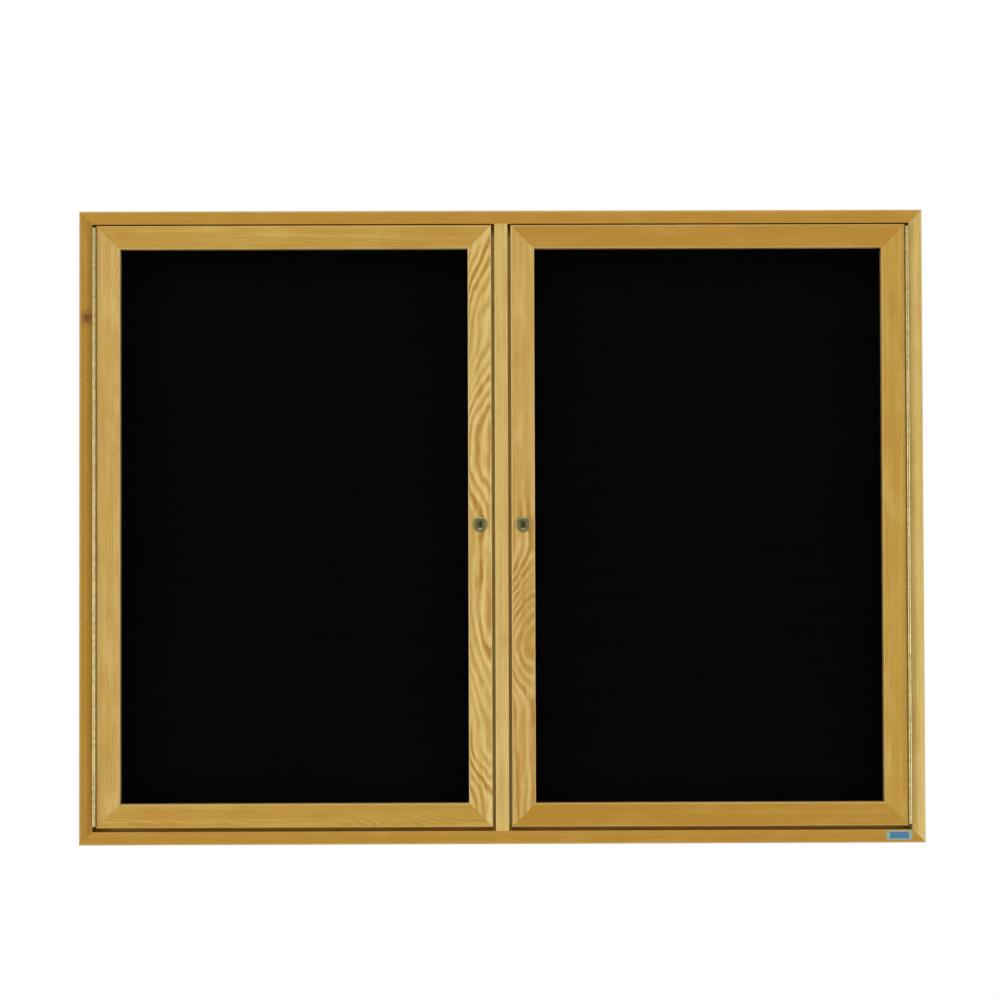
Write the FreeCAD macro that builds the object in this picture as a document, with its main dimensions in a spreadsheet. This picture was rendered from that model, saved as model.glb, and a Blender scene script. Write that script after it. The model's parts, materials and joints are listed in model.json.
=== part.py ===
"""Lockable notice board: a shallow oak wall case with two glazed doors, a post between them,
a continuous hinge at each outer side and a cam lock in each meeting stile.

Millimetres. X runs to the right, Y towards the wall and Z up. The origin is the centre of the
back, so the wall is the plane Y = 0 and the doors face -Y. The doors are modelled closed and
unlocked, with both cams hanging down.
"""

import FreeCAD, Part

import os

import Sketcher

document = FreeCAD.newDocument("NoticeBoard")


# Driving dimensions

SIZES = [
    ("case_width", 1219.2, "outside width of the case"),
    ("case_height", 914.4, "outside height of the case"),
    ("case_depth", 57.15, "depth of the case from the wall to its front edge"),
    ("case_face", 19.05, "width of a case member seen from the front"),
    ("case_round", 3, "radius on the outer front edge of the case"),
    ("bevel_width", 7, "width of the bevel beside the doors"),
    ("bevel_drop", 1.6, "how far the bevel falls back from the front edge"),
    ("stop_width", 6.35, "how far the door stop stands into the opening"),
    ("stop_gap", 0.4, "clearance between a closed door and its stop"),
    ("rabbet_width", 9.5, "how far the panels reach behind the door stop"),
    ("panel_thick", 6.4, "thickness of the letter panel"),
    ("backer_thick", 3.2, "thickness of the hardboard backer"),
    ("panel_play", 0.8, "play round the panels in the case"),
    ("mullion_width", 19.05, "width of the post between the doors"),
    ("mullion_round", 1.5, "radius on the front edges of the post"),
    ("mullion_lap", 3.2, "how far the post's flange reaches behind a door"),
    ("flange_thick", 9.5, "thickness of the post's flange"),
    ("tenon_wide", 12, "width of the tenon at each end of the post"),
    ("tenon_thick", 8, "thickness of the tenon at each end of the post"),
    ("tenon_long", 9.5, "length of the tenon at each end of the post"),
    ("tenon_play", 0.15, "play round a tenon in its mortise"),
    ("door_thick", 19.05, "thickness of a door frame"),
    ("door_member", 34, "width of a door frame's member"),
    ("door_round", 2.4, "radius on the outer front edge of a door"),
    ("sight_chamfer", 1.5, "chamfer round the glass on the front of a door"),
    ("top_gap", 1.6, "gap above a door"),
    ("bottom_gap", 5.4, "gap below a door"),
    ("middle_gap", 4.5, "gap between a door and the post"),
    ("glass_lap", 6.35, "how far a pane reaches behind the door frame"),
    ("pane_thick", 3.175, "thickness of a pane"),
    ("pane_play", 1, "play round a pane in its rabbet"),
    ("bead_thick", 6.35, "thickness of a glazing bead"),
    ("bead_chamfer", 3, "chamfer on the inner rear edge of a glazing bead"),
    ("barrel_size", 5.6, "size of a hinge barrel across its flats"),
    ("barrel_proud", 1.8, "how far a hinge axis lies in front of the door face"),
    ("leaf_thick", 1.2, "thickness of a hinge leaf"),
    ("leaf_width", 15.9, "width of a hinge leaf from the axis"),
    ("pin_radius", 1.4, "radius of a hinge pin"),
    ("pin_play", 0.06, "running clearance round a hinge pin"),
    ("knuckle_pitch", 12.7, "length of a hinge knuckle with its share of the gap"),
    ("knuckle_play", 0.3, "gap between two knuckles"),
    ("knuckle_relief", 0.4, "clearance between a knuckle and the other leaf"),
    ("lock_height", 3, "height of the locks above the middle of the case"),
    ("bezel_radius", 11, "radius of a lock's face ring"),
    ("bezel_thick", 2.4, "thickness of a lock's face ring"),
    ("bezel_chamfer", 1.2, "chamfer on the rim of a lock's face ring"),
    ("barrel_radius", 9.5, "radius of a lock's threaded body"),
    ("barrel_play", 0.4, "clearance between a lock and its hole in the wood"),
    ("plug_radius", 5.9, "radius of a lock plug"),
    ("plug_play", 0.06, "running clearance round a lock plug"),
    ("tang_size", 7, "side of the square that carries a cam"),
    ("key_slot_wide", 2, "width of a keyhole"),
    ("key_slot_high", 8, "height of a keyhole"),
    ("key_slot_deep", 18, "depth of a keyhole"),
    ("nut_size", 24, "size of a lock nut across its flats"),
    ("nut_thick", 5, "thickness of a lock nut"),
    ("nut_play", 0.08, "clearance between a lock nut and the lock body"),
    ("cam_width", 15, "width of a cam"),
    ("cam_reach", 25, "length of a cam from its axis to its tip"),
    ("cam_thick", 2.5, "thickness of a cam"),
    ("cam_gap", 0.8, "clearance between a cam and the post's flange"),
    ("cam_chamfer", 4, "chamfer on the corners of a cam"),
    ("cam_play", 0.1, "clearance between a cam and its square"),
    ("cam_screw_radius", 1.9, "radius of a cam screw"),
    ("cam_screw_length", 9, "length of a cam screw under its head"),
    ("cam_screw_head", 8, "size of the head of a cam screw across its flats"),
    ("cam_screw_rise", 2.8, "height of the head of a cam screw"),
    ("screw_play", 0.1, "clearance round a cam screw"),
    ("case_key_length", 24, "length of a key in a corner of the case, along the mitre"),
    ("case_key_width", 12, "width of a key in a corner of the case"),
    ("door_key_length", 32, "length of a key in a corner of a door, along the mitre"),
    ("door_key_width", 14, "width of a key in a corner of a door"),
    ("key_thick", 3, "thickness of a corner key"),
    ("key_play", 0.15, "play round a corner key in its slot"),
    ("wall_hole_radius", 2.75, "radius of a hole for a wall screw"),
    ("wall_hole_inset", 50.8, "distance of a wall screw from the outside of the case"),
]

sheet = document.addObject("Spreadsheet::Sheet", "Size")
for row, (alias, number, meaning) in enumerate(SIZES, start=1):
    sheet.set(f"A{row}", alias)
    sheet.set(f"B{row}", str(number))
    sheet.set(f"C{row}", meaning)
    sheet.setAlias(f"B{row}", alias)
document.recompute()


# Formulas that several pieces share, in the words of the sheet

OPENING_WIDTH = "(Size.case_width - 2 * Size.case_face)"
OPENING_HEIGHT = "(Size.case_height - 2 * Size.case_face)"
STOP_EDGE = "(Size.case_face + Size.stop_width)"
RABBET_EDGE = "(Size.case_face + Size.stop_width - Size.rabbet_width)"
PANEL_WIDTH = f"(Size.case_width - 2 * {RABBET_EDGE} - 2 * Size.panel_play)"
PANEL_HEIGHT = f"(Size.case_height - 2 * {RABBET_EDGE} - 2 * Size.panel_play)"

FRONT_Y = "(-Size.case_depth)"
DOOR_FRONT_Y = "(-Size.case_depth + Size.bevel_drop)"
DOOR_BACK_Y = f"({DOOR_FRONT_Y} + Size.door_thick)"
STOP_Y = f"({DOOR_BACK_Y} + Size.stop_gap)"
FLANGE_Y = f"({STOP_Y} + Size.flange_thick)"
PANEL_Y = "(-Size.backer_thick - Size.panel_thick)"

LOCK_EDGE = "(Size.mullion_width / 2 + Size.middle_gap)"
HINGE_EDGE = f"({OPENING_WIDTH} / 2 - Size.barrel_size)"
HINGE_X = f"({OPENING_WIDTH} / 2 - Size.barrel_size / 2)"
HINGE_Y = f"({DOOR_FRONT_Y} - Size.barrel_proud)"
DOOR_X = f"(({HINGE_EDGE} + {LOCK_EDGE}) / 2)"
DOOR_Z = "((Size.bottom_gap - Size.top_gap) / 2)"
DOOR_WIDTH = f"({HINGE_EDGE} - {LOCK_EDGE})"
DOOR_HEIGHT = f"({OPENING_HEIGHT} - Size.top_gap - Size.bottom_gap)"

GLASS_EDGE = "(Size.door_member - Size.glass_lap)"
GLASS_WIDTH = f"({DOOR_WIDTH} - 2 * {GLASS_EDGE})"
GLASS_HEIGHT = f"({DOOR_HEIGHT} - 2 * {GLASS_EDGE})"
PANE_Y = f"({DOOR_BACK_Y} - Size.bead_thick - Size.pane_thick)"
BEAD_Y = f"({DOOR_BACK_Y} - Size.bead_thick)"

KNUCKLES = f"floor({DOOR_HEIGHT} / (2 * Size.knuckle_pitch))"
HINGE_LENGTH = f"({KNUCKLES} * 2 * Size.knuckle_pitch)"

LOCK_X = f"({LOCK_EDGE} + Size.door_member / 2)"
CAM_Y = f"({FLANGE_Y} + Size.cam_gap)"
LOCK_LENGTH = f"({CAM_Y} - {DOOR_FRONT_Y})"

TENON_Y = f"(({DOOR_FRONT_Y} + {STOP_Y}) / 2)"
CASE_KEY_Y = f"(({STOP_Y} + {PANEL_Y}) / 2)"
DOOR_KEY_Y = f"(({DOOR_FRONT_Y} + {PANE_Y}) / 2)"

OVERSHOOT = 1
THROUGH_ALL = "through all"
DEPTHWISE = FreeCAD.Vector(0, 1, 0)

sub_parts = []


# Tools for drawing and building

def value(formula):
    """The number that a formula gives with the sizes of the sheet."""
    return float(sheet.evalExpression(str(formula)))


def origin_feature(body, role):
    """A plane or an axis of a body's own origin."""
    return next(part for part in body.Origin.OriginFeatures if part.Role == role)


def new_body(label):
    """An empty body that becomes a sub-part under this label."""
    body = document.addObject("PartDesign::Body", label)
    body.Label = label
    sub_parts.append(body)
    return body


def new_sketch(body, plane, offset="0"):
    """A sketch on an origin plane of the body, moved along the plane's normal by the offset."""
    sketch = body.newObject("Sketcher::SketchObject", f"{body.Name}_sketch")
    sketch.AttachmentSupport = [(origin_feature(body, plane), "")]
    sketch.MapMode = "FlatFace"
    sketch.setExpression("AttachmentOffset.Base.z", offset)
    return sketch


def bind(sketch, kind, *where_and_formula):
    """Adds a dimension to a sketch and ties it to a formula."""
    *where, formula = where_and_formula
    index = sketch.addConstraint(Sketcher.Constraint(kind, *where, value(formula)))
    sketch.setExpression(f"Constraints[{index}]", str(formula))


def tangent_point(corner, neighbour):
    """The point where the arc of a rounded square corner meets the side to its neighbour."""
    x, y, radius = corner
    away_x = value(neighbour[0]) - value(x)
    away_y = value(neighbour[1]) - value(y)
    if abs(away_x) > abs(away_y):
        return (f"({x} {'+' if away_x > 0 else '-'} {radius})", y)
    return (x, f"({y} {'+' if away_y > 0 else '-'} {radius})")


def draw_outline(sketch, corners):
    """Draws a closed outline anticlockwise through its corners.

    A corner is (x, y), or (x, y, radius) where a square corner is rounded.
    """
    points = []
    for index, corner in enumerate(corners):
        if len(corner) == 2:
            points.append((*corner, None))
            continue
        following = corners[(index + 1) % len(corners)]
        points.append((*tangent_point(corner, corners[index - 1]), corner))
        points.append((*tangent_point(corner, following), None))

    first = sketch.GeometryCount
    for index, (x, y, rounded) in enumerate(points):
        end_x, end_y, _ = points[(index + 1) % len(points)]
        start = FreeCAD.Vector(value(x), value(y), 0)
        end = FreeCAD.Vector(value(end_x), value(end_y), 0)
        if rounded is None:
            sketch.addGeometry(Part.LineSegment(start, end), False)
            continue
        corner = FreeCAD.Vector(value(rounded[0]), value(rounded[1]), 0)
        centre = start + end - corner
        outward = (corner - centre).normalize()
        middle = centre + outward * value(rounded[2])
        sketch.addGeometry(Part.Arc(start, middle, end), False)

    for index, (x, y, rounded) in enumerate(points):
        piece = first + index
        following = first + (index + 1) % len(points)
        sketch.addConstraint(Sketcher.Constraint("Coincident", piece, 2, following, 1))
        bind(sketch, "DistanceX", -1, 1, piece, 1, x)
        bind(sketch, "DistanceY", -1, 1, piece, 1, y)
        if rounded is not None:
            bind(sketch, "Radius", piece, rounded[2])


def rectangle(low_x, low_y, high_x, high_y):
    """The corners of a rectangle, anticlockwise."""
    return [(low_x, low_y), (high_x, low_y), (high_x, high_y), (low_x, high_y)]


def regular_polygon(sides, apothem, first_angle):
    """The corners of a regular polygon given by the distance from its centre to a side."""
    step = 360 / sides
    angles = [first_angle + step * index for index in range(sides)]
    reach = f"({apothem} / cos({step / 2}))"
    return [(f"({reach} * cos({angle}))", f"({reach} * sin({angle}))") for angle in angles]


def draw_circle(sketch, x, y, radius):
    """Draws a circle round the point (x, y)."""
    centre = FreeCAD.Vector(value(x), value(y), 0)
    piece = sketch.addGeometry(Part.Circle(centre, FreeCAD.Vector(0, 0, 1), value(radius)), False)
    bind(sketch, "DistanceX", -1, 1, piece, 3, x)
    bind(sketch, "DistanceY", -1, 1, piece, 3, y)
    bind(sketch, "Radius", piece, radius)


def set_length(feature, length, symmetric, reverse):
    """Gives a pad or pocket its length, both ways from the sketch where it is symmetric."""
    feature.Midplane = symmetric
    feature.Reversed = reverse
    if length == THROUGH_ALL:
        feature.Type = "ThroughAll"
    else:
        feature.setExpression("Length", length)


def pad(body, sketch, length, symmetric=False, reverse=False):
    """Adds material along the sketch's normal."""
    feature = body.newObject("PartDesign::Pad", f"{body.Name}_pad")
    feature.Profile = sketch
    set_length(feature, length, symmetric, reverse)
    document.recompute()
    return feature


def pocket(body, sketch, length=THROUGH_ALL, symmetric=False, reverse=False):
    """Cuts material against the sketch's normal, and makes sure that something was cut."""
    before = body.Shape.Volume
    feature = body.newObject("PartDesign::Pocket", f"{body.Name}_pocket")
    feature.Profile = sketch
    set_length(feature, length, symmetric, reverse)
    document.recompute()
    if body.Shape.Volume >= before:
        raise RuntimeError(f"a pocket of {body.Label} cuts nothing")
    return feature


def revolve(body, corners):
    """Turns an outline of (distance along Y, radius) corners round the body's Y axis."""
    sketch = new_sketch(body, "YZ_Plane")
    draw_outline(sketch, corners)
    feature = body.newObject("PartDesign::Revolution", f"{body.Name}_turned")
    feature.Profile = sketch
    feature.ReferenceAxis = (origin_feature(body, "Y_Axis"), [""])
    document.recompute()


def place(thing, x, y, z, rotation=None):
    """Puts a sub-part at a point given by formulas."""
    thing.Placement = FreeCAD.Placement(FreeCAD.Vector(), rotation or FreeCAD.Rotation())
    thing.setExpression("Placement.Base.x", x)
    thing.setExpression("Placement.Base.y", y)
    thing.setExpression("Placement.Base.z", z)


def group(label, members):
    """One sub-part made of several separate like pieces."""
    together = document.addObject("Part::Compound", label)
    together.Label = label
    together.Links = members
    sub_parts.append(together)


# Mitred frames, for the case, the doors and the glazing beads

SIDES = {
    "top": {"turn": 0, "along": "width", "out": (0, 1)},
    "bottom": {"turn": 180, "along": "width", "out": (0, -1)},
    "left": {"turn": -90, "along": "height", "out": (-1, 0)},
    "right": {"turn": 90, "along": "height", "out": (1, 0)},
}


def mitre_slot(end, length, mitre, key_length, key_width):
    """The outline of a corner key's slot, centred on the mitre at one end of a member.

    end is -1 or 1. The slot's long side follows the mitre.
    """
    centre_x = f"({length} / 2 - {mitre} / 2)"
    corners = []
    for along, across in ((-1, 1), (-1, -1), (1, -1), (1, 1)):
        x = f"({along} * {key_length} / 2 - {across} * {key_width} / 2) * cos(45)"
        z = f"({along} * {key_length} / 2 + {across} * {key_width} / 2) * cos(45)"
        corners.append((f"({end} * ({centre_x} + {x}))", f"(-{mitre} / 2 + {z})"))
    return corners if end > 0 else corners[::-1]


def mitred_member(label, side, profile, frame, mitre, key=None):
    """One moulded member of a frame, mitred at both ends.

    The member is drawn as the top one, with its length along X and its outer edge at Z = 0.
    profile holds (y, z) corners. frame gives the outside width and height and the middle of the
    whole frame. mitre is how far the section reaches inwards from the outer edge.
    """
    body = new_body(label)
    facing = SIDES[side]
    length = frame[facing["along"]]
    section = new_sketch(body, "YZ_Plane")
    draw_outline(section, profile)
    pad(body, section, length, symmetric=True)

    ends = new_sketch(body, "XZ_Plane")
    low = f"(-{mitre} - {OVERSHOOT})"
    for end in (-1, 1):
        tip = f"({end} * ({length} / 2 + {OVERSHOOT}))"
        root = f"({end} * ({length} / 2 - {mitre} - {OVERSHOOT}))"
        corners = [(tip, str(OVERSHOOT)), (root, low), (tip, low)]
        draw_outline(ends, corners if end > 0 else corners[::-1])
    pocket(body, ends, symmetric=True)

    if key:
        slots = new_sketch(body, "XZ_Plane", f"(-{key['y']})")
        for end in (-1, 1):
            draw_outline(slots, mitre_slot(end, length, mitre, key["length"], key["width"]))
        pocket(body, slots, "Size.key_thick + 2 * Size.key_play", symmetric=True)

    out_x, out_z = facing["out"]
    place(
        body,
        f"{frame['x']} + {out_x} * {frame['width']} / 2",
        "0",
        f"{frame['z']} + {out_z} * {frame['height']} / 2",
        FreeCAD.Rotation(DEPTHWISE, facing["turn"]),
    )
    return body


def corner_keys(label, frame, mitre, key):
    """The four loose wooden keys that lock a frame's mitres."""
    keys = []
    for right in (-1, 1):
        for up in (-1, 1):
            name = f"{label}_{'right' if right > 0 else 'left'}_{'upper' if up > 0 else 'lower'}"
            slip = document.addObject("Part::Box", name)
            slip.setExpression("Length", f"{key['length']} - 2 * Size.key_play")
            slip.setExpression("Width", "Size.key_thick")
            slip.setExpression("Height", f"{key['width']} - 2 * Size.key_play")
            turned = FreeCAD.Rotation(DEPTHWISE, -45 * right * up)
            low_corner = f"(-{key['length']} / 2 + Size.key_play)"
            low_edge = f"(-{key['width']} / 2 + Size.key_play)"
            lean = right * up
            place(
                slip,
                f"{frame['x']} + {right} * ({frame['width']} / 2 - {mitre} / 2)"
                f" + ({low_corner} - {lean} * {low_edge}) * cos(45)",
                f"{key['y']} - Size.key_thick / 2",
                f"{frame['z']} + {up} * ({frame['height']} / 2 - {mitre} / 2)"
                f" + ({lean} * {low_corner} + {low_edge}) * cos(45)",
                turned,
            )
            keys.append(slip)
    group(label, keys)


# Case

CASE = {"width": "Size.case_width", "height": "Size.case_height", "x": "0", "z": "0"}

CASE_KEY = {
    "length": "Size.case_key_length",
    "width": "Size.case_key_width",
    "y": CASE_KEY_Y,
}


def make_case():
    """The four case members and the keys in their mitres.

    A member has a rounded outer edge, a bevel beside the doors, a stop behind them and a rabbet
    at the back for the panels.
    """
    profile = [
        (FRONT_Y, "0", "Size.case_round"),
        (FRONT_Y, "(Size.bevel_width - Size.case_face)"),
        (DOOR_FRONT_Y, "(-Size.case_face)"),
        (STOP_Y, "(-Size.case_face)"),
        (STOP_Y, f"(-{STOP_EDGE})"),
        (PANEL_Y, f"(-{STOP_EDGE})"),
        (PANEL_Y, f"(-{RABBET_EDGE})"),
        ("0", f"(-{RABBET_EDGE})"),
        ("0", "0"),
    ]
    names = {
        "top": "case_top_rail",
        "bottom": "case_bottom_rail",
        "left": "case_left_side",
        "right": "case_right_side",
    }
    for side, label in names.items():
        member = mitred_member(label, side, profile, CASE, STOP_EDGE, CASE_KEY)
        if SIDES[side]["along"] == "width":
            cut_mortise(member)
    corner_keys("case_corner_keys", CASE, STOP_EDGE, CASE_KEY)


def tenon_section(play):
    """The corners of the post's tenon, or with play round it of the mortise that takes it."""
    half_wide = f"(Size.tenon_wide / 2 + {play})"
    half_thick = f"(Size.tenon_thick / 2 + {play})"
    front = f"({TENON_Y} - {half_thick})"
    back = f"({TENON_Y} + {half_thick})"
    return rectangle(f"(-{half_wide})", front, half_wide, back)


def cut_mortise(rail):
    """A blind mortise in the inner face of a rail, for the post's tenon."""
    mouth = new_sketch(rail, "XY_Plane", "(-Size.case_face)")
    draw_outline(mouth, tenon_section("Size.tenon_play"))
    pocket(rail, mouth, "Size.tenon_long + Size.tenon_play", reverse=True)


def make_mullion():
    """The post between the doors, a T in section with a tenon at each end.

    Its nose shows between the doors, and its flange stops them and holds the cams.
    """
    post = new_body("mullion")
    nose = new_sketch(post, "XY_Plane")
    half = "(Size.mullion_width / 2)"
    draw_outline(nose, [
        (f"(-{half})", DOOR_FRONT_Y, "Size.mullion_round"),
        (half, DOOR_FRONT_Y, "Size.mullion_round"),
        (half, STOP_Y),
        (f"(-{half})", STOP_Y),
    ])
    pad(post, nose, OPENING_HEIGHT, symmetric=True)

    flange = new_sketch(post, "XY_Plane")
    flange_half = f"({LOCK_EDGE} + Size.mullion_lap)"
    draw_outline(flange, rectangle(f"(-{flange_half})", STOP_Y, flange_half, FLANGE_Y))
    pad(post, flange, f"{OPENING_HEIGHT} - 2 * Size.stop_width", symmetric=True)

    tenons = new_sketch(post, "XY_Plane")
    draw_outline(tenons, tenon_section("0"))
    pad(post, tenons, f"{OPENING_HEIGHT} + 2 * Size.tenon_long", symmetric=True)


def make_panel(label, thick, front_y):
    """A sheet that fills the back of the case, with the four holes for the wall screws."""
    panel = new_body(label)
    sheet_outline = new_sketch(panel, "XZ_Plane")
    half_width = f"({PANEL_WIDTH} / 2)"
    half_height = f"({PANEL_HEIGHT} / 2)"
    draw_outline(
        sheet_outline,
        rectangle(f"(-{half_width})", f"(-{half_height})", half_width, half_height),
    )
    pad(panel, sheet_outline, thick, reverse=True)
    holes = new_sketch(panel, "XZ_Plane")
    for right in (-1, 1):
        for up in (-1, 1):
            draw_circle(
                holes,
                f"({right} * (Size.case_width / 2 - Size.wall_hole_inset))",
                f"({up} * (Size.case_height / 2 - Size.wall_hole_inset))",
                "Size.wall_hole_radius",
            )
    pocket(panel, holes, symmetric=True)
    place(panel, "0", front_y, "0")


# Doors

def door_frame(side):
    """The outside of a door frame. side is -1 for the left door and 1 for the right one."""
    return {
        "width": DOOR_WIDTH,
        "height": DOOR_HEIGHT,
        "x": f"({side} * {DOOR_X})",
        "z": DOOR_Z,
    }


def glass_frame(side):
    """The outside of the rabbet that holds a door's pane."""
    return dict(door_frame(side), width=GLASS_WIDTH, height=GLASS_HEIGHT)


def member_names(hand, left_name, right_name, kind):
    """The names of a frame's four members on a left or right door."""
    return {
        "top": f"{hand}_door_top_{kind}",
        "bottom": f"{hand}_door_bottom_{kind}",
        "left": f"{hand}_door_{left_name}",
        "right": f"{hand}_door_{right_name}",
    }


def make_door(hand, side):
    """A mitred door frame with its keys, its pane and the beads that hold the pane."""
    profile = [
        (DOOR_FRONT_Y, "0", "Size.door_round"),
        (DOOR_FRONT_Y, "(Size.sight_chamfer - Size.door_member)"),
        (f"({DOOR_FRONT_Y} + Size.sight_chamfer)", "(-Size.door_member)"),
        (PANE_Y, "(-Size.door_member)"),
        (PANE_Y, f"(-{GLASS_EDGE})"),
        (DOOR_BACK_Y, f"(-{GLASS_EDGE})"),
        (DOOR_BACK_Y, "0"),
    ]
    key = {"length": "Size.door_key_length", "width": "Size.door_key_width", "y": DOOR_KEY_Y}
    frame = door_frame(side)
    stiles = ("hinge_stile", "lock_stile") if side < 0 else ("lock_stile", "hinge_stile")
    for where, label in member_names(hand, *stiles, "rail").items():
        member = mitred_member(label, where, profile, frame, "Size.door_member", key)
        if label.endswith("lock_stile"):
            bore_for_lock(member, side)
    corner_keys(f"{hand}_door_corner_keys", frame, "Size.door_member", key)

    pane = document.addObject("Part::Box", f"{hand}_pane")
    pane.setExpression("Length", f"{GLASS_WIDTH} - 2 * Size.pane_play")
    pane.setExpression("Width", "Size.pane_thick")
    pane.setExpression("Height", f"{GLASS_HEIGHT} - 2 * Size.pane_play")
    place(
        pane,
        f"{frame['x']} - {GLASS_WIDTH} / 2 + Size.pane_play",
        PANE_Y,
        f"{frame['z']} - {GLASS_HEIGHT} / 2 + Size.pane_play",
    )
    sub_parts.append(pane)

    bead_profile = [
        (BEAD_Y, "0"),
        (BEAD_Y, "(-Size.glass_lap)"),
        (f"({DOOR_BACK_Y} - Size.bead_chamfer)", "(-Size.glass_lap)"),
        (DOOR_BACK_Y, "(Size.bead_chamfer - Size.glass_lap)"),
        (DOOR_BACK_Y, "0"),
    ]
    beads = ("hinge_bead", "lock_bead") if side < 0 else ("lock_bead", "hinge_bead")
    for where, label in member_names(hand, *beads, "bead").items():
        mitred_member(label, where, bead_profile, glass_frame(side), "Size.glass_lap")


def bore_for_lock(stile, side):
    """The hole for the lock body, in the middle of the meeting stile's width."""
    bore = new_sketch(stile, "XZ_Plane")
    along = f"({side} * (Size.lock_height - {DOOR_Z}))"
    radius = "(Size.barrel_radius + Size.barrel_play)"
    draw_circle(bore, along, "(-Size.door_member / 2)", radius)
    pocket(stile, bore, symmetric=True)


# Continuous hinges

BARREL_SIDES = 8
BORE_SIDES = 4


def make_hinge_leaf(label, side, leaf_side, first_notch):
    """One leaf of a continuous hinge: a strip whose front edge is rolled into knuckles.

    leaf_side is the side of the axis on which the strip lies, and first_notch the number of the
    lowest knuckle that belongs to the other leaf.
    """
    leaf = new_body(label)
    barrel = new_sketch(leaf, "XY_Plane")
    half_barrel = "(Size.barrel_size / 2)"
    draw_outline(barrel, regular_polygon(BARREL_SIDES, half_barrel, 180 / BARREL_SIDES))
    bore = "(Size.pin_radius + Size.pin_play)"
    draw_outline(barrel, regular_polygon(BORE_SIDES, bore, 180 / BORE_SIDES))
    pad(leaf, barrel, HINGE_LENGTH, symmetric=True)

    strip = new_sketch(leaf, "XY_Plane")
    outer = f"({leaf_side} * {half_barrel})"
    inner = f"({leaf_side} * ({half_barrel} - Size.leaf_thick))"
    low, high = (outer, inner) if leaf_side < 0 else (inner, outer)
    draw_outline(strip, rectangle(low, "0", high, "Size.leaf_width"))
    pad(leaf, strip, HINGE_LENGTH, symmetric=True)

    notch = new_sketch(leaf, "YZ_Plane")
    bottom = f"({first_notch} * Size.knuckle_pitch - {HINGE_LENGTH} / 2 - Size.knuckle_play / 2)"
    draw_outline(notch, rectangle(
        f"(-{half_barrel} - {OVERSHOOT})",
        bottom,
        f"({half_barrel} + Size.knuckle_relief)",
        f"({bottom} + Size.knuckle_pitch + Size.knuckle_play)",
    ))
    cut = pocket(leaf, notch, symmetric=True)
    row = leaf.newObject("PartDesign::LinearPattern", f"{label}_notches")
    row.Originals = [cut]
    row.Direction = (origin_feature(leaf, "Z_Axis"), [""])
    row.setExpression("Length", f"{HINGE_LENGTH} - 2 * Size.knuckle_pitch")
    row.setExpression("Occurrences", KNUCKLES)
    leaf.Tip = row
    document.recompute()
    place(leaf, f"{side} * {HINGE_X}", HINGE_Y, DOOR_Z)


def make_hinge(hand, side):
    """A continuous hinge: a leaf on the case, a leaf on the door's edge and one long pin."""
    make_hinge_leaf(f"{hand}_hinge_case_leaf", side, side, first_notch=1)
    make_hinge_leaf(f"{hand}_hinge_door_leaf", side, -side, first_notch=0)
    pin = document.addObject("Part::Cylinder", f"{hand}_hinge_pin")
    pin.setExpression("Radius", "Size.pin_radius")
    pin.setExpression("Height", HINGE_LENGTH)
    place(pin, f"{side} * {HINGE_X}", HINGE_Y, f"{DOOR_Z} - {HINGE_LENGTH} / 2")
    sub_parts.append(pin)


# Cam locks

BODY_THREAD_SIDES = 12
SCREW_THREAD_SIDES = 6


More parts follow.
